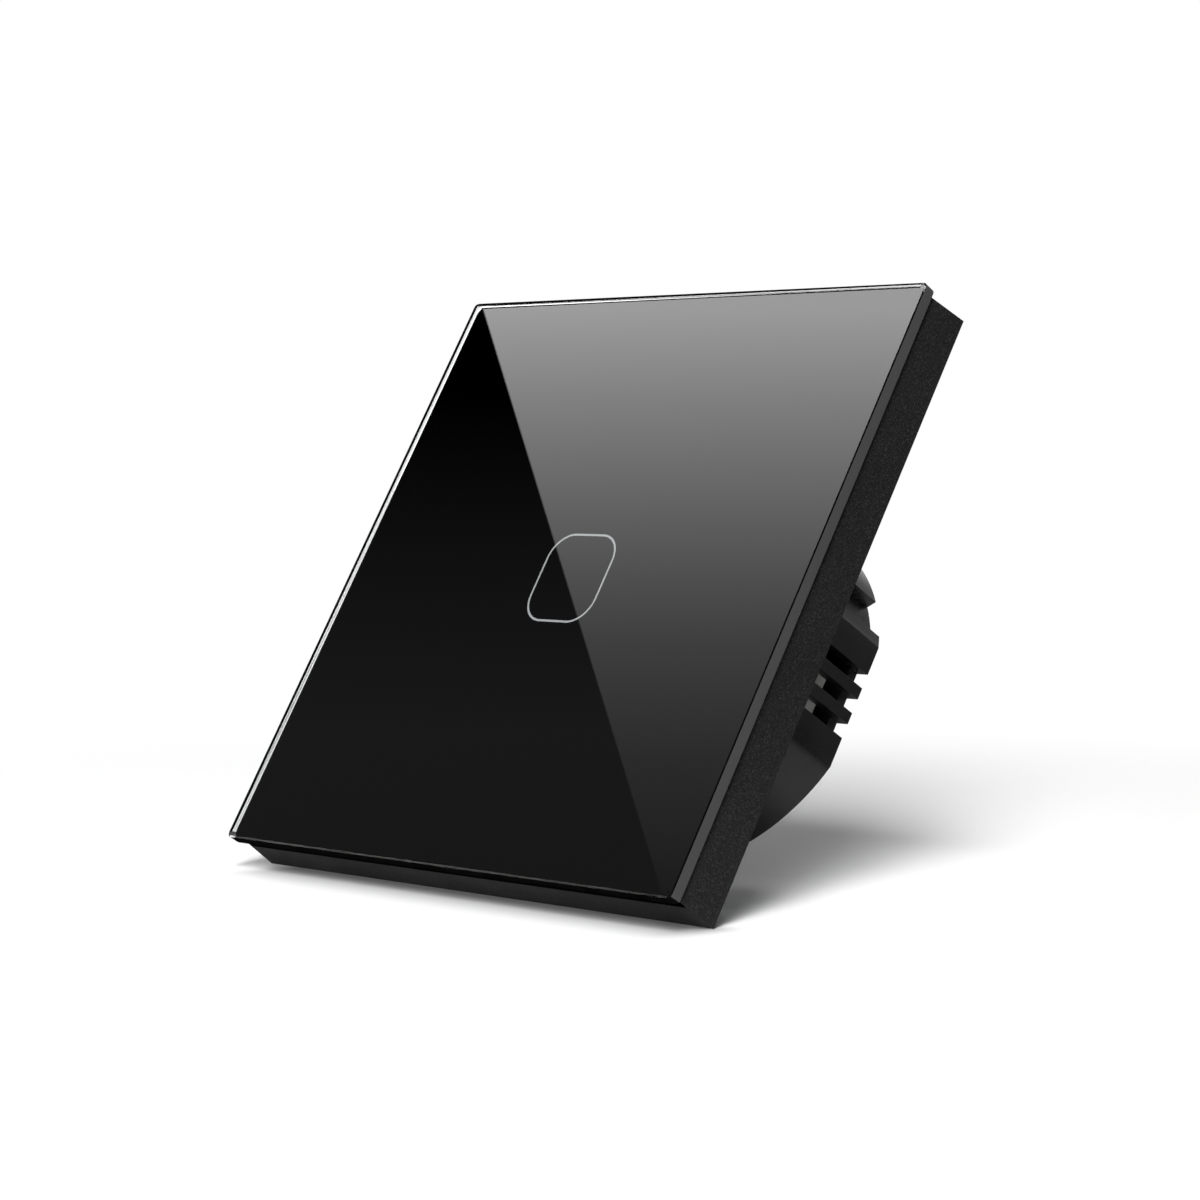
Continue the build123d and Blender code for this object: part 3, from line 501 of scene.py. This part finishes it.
board = boardMask()
ceramic = plainFinish("ceramic", (0.35, 0.3, 0.24), 0.5)
blackPart = plainFinish("blackEpoxy", (0.018, 0.018, 0.018), 0.5)
ferrite = plainFinish("ferrite", (0.035, 0.035, 0.037), 0.55)
ivory = plainFinish("ivoryNylon", (0.6, 0.58, 0.52), 0.45)
relayPlastic = plainFinish("relayPlastic", (0.05, 0.09, 0.16), 0.35)
finishes = {
    "insulating_sheet": plainFinish("sheetFilm", (0.45, 0.43, 0.36), 0.3),
    "touch_board": board, "power_board": board,
    "light_guide": plainFinish("diffuser", (0.75, 0.76, 0.76), 0.4),
    "indicator_lamps": plainFinish("lampWhite", (0.75, 0.74, 0.66), 0.3),
    "touch_spring": steel, "touch_chip": blackPart, "bridge_rectifier": blackPart,
    "touch_board_parts": ceramic, "power_board_parts": ceramic,
    "header_body": blackPart, "header_socket": blackPart, "header_pins": gold,
    "housing_screws": steel, "solder_joints": tin,
    "film_capacitor": plainFinish("capacitorBox", (0.93, 0.93, 0.9), 0.4, drift=0.94),
    "smoothing_capacitor": plainFinish("canSleeve", (0.02, 0.025, 0.04), 0.3),
    "capacitor_top": tin, "fuse": plainFinish("fuseBrown", (0.16, 0.07, 0.035), 0.4),
    "varistor": plainFinish("varistorBlue", (0.03, 0.09, 0.3), 0.4),
    "choke_core": ferrite, "transformer_core": ferrite,
    "choke_winding": copper, "relay_winding": copper,
    "transformer_base": ivory, "relay_bobbin": ivory,
    "transformer_winding": plainFinish("windingTape", (0.6, 0.42, 0.04), 0.35),
    "relay_base": relayPlastic, "relay_case": relayPlastic,
    "relay_yoke": steel, "relay_armature": steel,
    "relay_fixed_contact": copper, "relay_contact_blade": copper,
    "terminal_bars": brass, "terminal_cage_line": brass, "terminal_cage_load": brass,
    "terminal_screw_line": steel, "terminal_screw_load": steel}
for node, finish in finishes.items():
    dress(node, finish)
print("finishes given to", len(finishes), "inner pieces")


# Moulded, pressed and turned pieces whose edges are broken: node, body, slot and edge width

softEdges = {
    "filmCapacitor": ("film_capacitor", "switch_module", "pale_box", 0.00025),
    "relayCase": ("relay_case", "switch_module", "relay_plastic", 0.0003),
    "relayBase": ("relay_base", "switch_module", "relay_plastic", 0.00015),
    "headerBody": ("header_body", "switch_module", "header_black", 0.00012),
    "headerSocket": ("header_socket", "switch_module", "header_black", 0.00012),
    "bridgeRectifier": ("bridge_rectifier", "switch_module", "chip_black", 0.00015),
    "transformerCore": ("transformer_core", "switch_module", "ferrite", 0.0002),
    "transformerBase": ("transformer_base", "switch_module", "bobbin_white", 0.00015),
    "chokeCore": ("choke_core", "switch_module", "ferrite", 0.00025),
    "relayYoke": ("relay_yoke", "switch_module", "relay_iron", 0.0001),
    "housingScrews": ("housing_screws", "switch_module", "screw_steel", 0.00012),
    "relayArmature": ("relay_armature", "relay_arm", "relay_iron", 0.00008),
    "terminalScrewLine": ("terminal_screw_line", "line_screw", "screw_steel", 0.00015),
    "terminalScrewLoad": ("terminal_screw_load", "load_screw", "screw_steel", 0.00015),
    "terminalCageLine": ("terminal_cage_line", "line_cage", "terminal_brass", 0.00012),
    "terminalCageLoad": ("terminal_cage_load", "load_cage", "terminal_brass", 0.00012)}
for name, (node, body, slotName, edge) in softEdges.items():
    finishPiece(name, takeCopy(node, edge), body, [finishes[node]], [node])


# Enamelled wire, wound turn by turn

windings = {"chokeWinding": {"node": "choke_winding", "wire": 0.00044},
            "relayWinding": {"node": "relay_winding", "wire": 0.00022}}
woundLook = {"turnSteps": 40, "wireSides": 8, "rimShare": 0.97, "sunkShare": 0.6, "smoothAngle": 60}


def makeWinding(name, look):
    low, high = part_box(look["node"])
    centre = (low + high) / 2
    outer, wire = (high.x - low.x) / 2, look["wire"]
    coil = takeCopy(look["node"])
    rim = [v for v in coil.verts
           if math.hypot(v.co.x - centre.x, v.co.z - centre.z) > outer * woundLook["rimShare"]]
    inward = 1 - wire * woundLook["sunkShare"] / outer
    bmesh.ops.scale(coil, vec=(inward, 1, inward), space=Matrix.Translation(-centre), verts=rim)
    turns = int((high.y - low.y) / wire)
    step = (high.y - low.y) / turns
    for turn in range(turns):
        section = bmesh.ops.create_circle(coil, radius=wire / 2, segments=woundLook["wireSides"])["verts"]
        bmesh.ops.translate(coil, vec=(centre.x + outer - wire / 2, low.y + step * (turn + 0.5), centre.z),
                            verts=section)
        edges = {e for v in section for e in v.link_edges}
        bmesh.ops.spin(coil, geom=section + list(edges), cent=centre, axis=(0, 1, 0), angle=math.tau,
                       steps=woundLook["turnSteps"], use_merge=True)
    finishPiece(name, coil, "switch_module", [copper], [look["node"]],
                smoothAngle=woundLook["smoothAngle"])


for name, look in windings.items():
    makeWinding(name, look)


# Floor, backdrop, lights and camera

stageLook = {"floorLow": -0.04284, "floorRise": 0.6125, "floorReach": 3.0, "floorColour": 0.72,
             "cardCentre": (-0.06, 0, 0), "cardEnd": 0.075, "feltStart": 0.21, "felt": 0.05,
             "floorShown": 0.94, "fadeStart": 0.13, "fadeEnd": 0.25,
             "contactReach": 0.0115, "contactAhead": 0.003, "contactCentre": 0.0025,
             "contactHalf": 0.0385, "contactFade": 0.0445, "contactDepth": 0.66}


def contactShade(tree, place):
    # a soft contact shadow in front of the foot
    look = stageLook
    parts = addNode(tree, "ShaderNodeSeparateXYZ", {"Vector": place})
    sideways = reckon(tree, "ABSOLUTE", reckon(tree, "SUBTRACT", parts.outputs["X"], look["contactCentre"]))
    near = spread(tree, reckon(tree, "ABSOLUTE", parts.outputs["Y"]), 0, 1, look["contactReach"], 0,
                  interpolation_type="SMOOTHSTEP")
    beside = spread(tree, sideways, 0, 1, look["contactFade"], look["contactHalf"],
                    interpolation_type="SMOOTHSTEP")
    ahead = spread(tree, parts.outputs["Y"], 0, 1, look["contactAhead"], 0)
    dimmed = reckon(tree, "MULTIPLY", near, reckon(tree, "MULTIPLY", beside, ahead))
    shown = look["floorShown"]
    return spread(tree, dimmed, shown, shown * (1 - look["contactDepth"]), 0, 1)


def floorMaterial():
    look = stageLook
    material, tree, shader = startMaterial("whiteFloor")
    tree.nodes.remove(shader)
    path = addNode(tree, "ShaderNodeLightPath")
    side = addNode(tree, "ShaderNodeNewGeometry")
    place = addNode(tree, "ShaderNodeTexCoord").outputs["Object"]
    # for light paths the white card is small and dark felt lies beyond it
    onCard = addNode(tree, "ShaderNodeVectorMath", {0: place, 1: look["cardCentre"]}, operation="DISTANCE")
    felt = spread(tree, onCard.outputs["Value"], look["floorColour"], look["felt"], look["cardEnd"],
                  look["feltStart"], interpolation_type="SMOOTHSTEP")
    plain = addNode(tree, "ShaderNodeBsdfDiffuse", {"Color": felt})
    # what is seen of the floor fades to white with its distance
    seen = addNode(tree, "ShaderNodeBsdfDiffuse", {"Color": contactShade(tree, place)})
    white = addNode(tree, "ShaderNodeEmission", {"Color": (1, 1, 1, 1), "Strength": 1.0})
    reach = addNode(tree, "ShaderNodeVectorMath", {0: place}, operation="LENGTH")
    fade = spread(tree, reach.outputs["Value"], 0, 1, look["fadeStart"], look["fadeEnd"],
                  interpolation_type="SMOOTHSTEP")
    looked = reckon(tree, "MAXIMUM", path.outputs["Is Camera Ray"], path.outputs["Is Transmission Ray"])
    shown = mixShaders(tree, looked, plain, mixShaders(tree, fade, seen, white))
    oneSided = mixShaders(tree, side.outputs["Backfacing"], shown, addNode(tree, "ShaderNodeBsdfTransparent"))
    tree.links.new(oneSided.outputs[0], tree.nodes["Material Output"].inputs["Surface"])
    return material


def makeFloor():
    floor = bmesh.new()
    bmesh.ops.create_grid(floor, x_segments=1, y_segments=1, size=stageLook["floorReach"])
    lean = math.atan(stageLook["floorRise"])
    bmesh.ops.rotate(floor, cent=(0, 0, 0), matrix=Matrix.Rotation(lean, 3, "X"), verts=floor.verts)
    bmesh.ops.translate(floor, vec=(0, 0, stageLook["floorLow"]), verts=floor.verts)
    piece = placeMesh("studioFloor", floor)
    piece.data.materials.append(floorMaterial())


cardLook = {"place": (-0.433916, -0.377468, 0.189158), "right": (0.683721, -0.622327, 0.381096),
            "up": (-0.033274, 0.495103, 0.868197), "halfWidth": 0.18, "halfHeight": 0.17,
            "splitTop": (-0.0362, 0.0903), "splitFoot": (0.0170, -0.0835), "strength": 5.2,
            "stops": ((0.0, 0.04), (0.122, 0.060), (0.225, 0.078), (0.328, 0.112), (0.431, 0.156),
                      (0.534, 0.234), (0.637, 0.336), (0.740, 0.459), (0.844, 0.607), (0.947, 0.793),
                      (1.0, 0.9)),
            "rampHalf": 0.09, "splitSoft": 0.0003, "tilt": 1.35, "tiltShares": (-0.192, 0.168),
            "darkTop": 0.063, "darkFoot": -0.04, "leftTop": 0.0, "leftFoot": 0.03}


def cardMaterial():
    # a ramp on the lit part, the slanted edge, and a faint rise on the dark part
    look = cardLook
    material, tree, shader = startMaterial("cardLight")
    tree.nodes.remove(shader)
    spot = addNode(tree, "ShaderNodeTexCoord")
    parts = addNode(tree, "ShaderNodeSeparateXYZ", {"Vector": spot.outputs["Object"]})
    across, up = parts.outputs["X"], parts.outputs["Y"]
    rise = spread(tree, up, 0, 1, -look["rampHalf"], look["rampHalf"])
    ramp = addNode(tree, "ShaderNodeValToRGB", {"Fac": rise})
    stops = ramp.color_ramp.elements
    while len(stops) < len(look["stops"]):
        stops.new(0.5)
    for stop, (place, level) in zip(stops, look["stops"]):
        stop.position = place
        stop.color = (level, level, level, 1)
    (topX, topY), (footX, footY) = look["splitTop"], look["splitFoot"]
    slope = (footX - topX) / (footY - topY)
    offset = reckon(tree, "ADD", across, reckon(tree, "MULTIPLY_ADD", up, -slope, slope * topY - topX))
    side = spread(tree, offset, 0, 1, -look["splitSoft"], look["splitSoft"])
    dark = spread(tree, up, look["leftTop"], look["leftFoot"], look["darkTop"], look["darkFoot"])
    level = addNode(tree, "ShaderNodeMix", {0: side, 2: dark, 3: ramp.outputs["Color"]}, data_type="FLOAT")
    weak, strong = (look["strength"] * (1 + look["tilt"] * share) for share in look["tiltShares"])
    tilt = spread(tree, across, weak, strong, -look["halfWidth"], look["halfWidth"])
    glow = addNode(tree, "ShaderNodeEmission", {"Color": (1, 1, 1, 1),
                                                "Strength": reckon(tree, "MULTIPLY", level.outputs[0], tilt)})
    tree.links.new(glow.outputs[0], tree.nodes["Material Output"].inputs["Surface"])
    return material


def makeCard():
    # the soft box that the glass mirrors: a lit part with a slanted edge, and a dark part
    look = cardLook
    right, up = Vector(look["right"]), Vector(look["up"])
    turn = Matrix((right, up, right.cross(up))).transposed().to_4x4()
    card = bmesh.new()
    bmesh.ops.create_grid(card, x_segments=1, y_segments=1, size=1.0)
    bmesh.ops.scale(card, vec=(look["halfWidth"], look["halfHeight"], 1), verts=card.verts)
    piece = placeMesh("mirrorCard", card)
    piece.matrix_world = Matrix.Translation(look["place"]) @ turn
    for ray in ("camera", "diffuse", "transmission", "volume_scatter", "shadow"):
        setattr(piece, "visible_" + ray, False)
    piece.data.materials.append(cardMaterial())


worldLook = {"toward": (-0.75, 0.563, 0.3445), "floorUp": (0, -0.522, 0.853), "dim": 0.06, "bright": 1.5,
             "turnedFrom": -0.25, "turnedTo": 0.3, "bandLow": 0.12, "bandHigh": 0.32}


def makeWorld():
    # a white backdrop stands low behind and left of the object; the rest of the studio is dim
    look = worldLook
    world = bpy.data.worlds.new("studio")
    bpy.context.scene.world = world
    world.use_nodes = True
    tree = world.node_tree
    tree.nodes.clear()
    spot = addNode(tree, "ShaderNodeTexCoord")
    ways = []
    for axis, start, end in (("toward", "turnedFrom", "turnedTo"), ("floorUp", "bandHigh", "bandLow")):
        way = Vector(look[axis]).normalized()
        lean = addNode(tree, "ShaderNodeVectorMath", {0: spot.outputs["Generated"], 1: way},
                       operation="DOT_PRODUCT")
        ways.append(spread(tree, lean.outputs["Value"], 0, 1, look[start], look[end],
                           interpolation_type="SMOOTHSTEP"))
    level = spread(tree, reckon(tree, "MULTIPLY", *ways), look["dim"], look["bright"], 0, 1)
    around = addNode(tree, "ShaderNodeBackground", {"Color": (1, 1, 1, 1), "Strength": level})
    seen = addNode(tree, "ShaderNodeBackground", {"Color": (1, 1, 1, 1), "Strength": 1.0})
    path = addNode(tree, "ShaderNodeLightPath")
    mixed = mixShaders(tree, path.outputs["Is Camera Ray"], around, seen)
    addNode(tree, "ShaderNodeOutputWorld", {"Surface": mixed.outputs[0]})


lampLook = {"key": {"place": (0.873, -1.345, 0.042), "up": (0, -0.522, 0.853), "wide": 0.34, "tall": 1.75,
                    "power": 62.0},
            "rim": {"place": (-0.95, 0.22, 0.40), "up": (0, -0.522, 0.853), "wide": 0.5, "tall": 0.4,
                    "power": 5.0}}


def makeLamp(name, look):
    data = bpy.data.lights.new(name, "AREA")
    data.shape = "RECTANGLE"
    data.size, data.size_y = look["wide"], look["tall"]
    data.energy = look["power"]
    lamp = bpy.data.objects.new(name, data)
    bpy.context.scene.collection.objects.link(lamp)
    back = Vector(look["place"]).normalized()
    across = Vector(look["up"]).cross(back).normalized()
    turn = Matrix((across, back.cross(across), back)).transposed().to_4x4()
    lamp.matrix_world = Matrix.Translation(look["place"]) @ turn


cameraLook = {"place": (0.322137, -0.268771, -0.140448), "turn": (110.105, -22.402, 42.309), "lens": 100.63,
              "sensor": 36, "clip": (0.01, 50)}


def makeCamera():
    data = bpy.data.cameras.new("photoCamera")
    data.sensor_width = cameraLook["sensor"]
    data.lens = cameraLook["lens"]
    data.clip_start, data.clip_end = cameraLook["clip"]
    camera = bpy.data.objects.new("photoCamera", data)
    bpy.context.scene.collection.objects.link(camera)
    camera.location = cameraLook["place"]
    camera.rotation_euler = [math.radians(a) for a in cameraLook["turn"]]
    bpy.context.scene.camera = camera


makeFloor()
makeCard()
makeWorld()
for lampName, look in lampLook.items():
    makeLamp(lampName + "Lamp", look)
makeCamera()
bpy.context.scene.view_settings.view_transform = "Standard"
print("stage set")
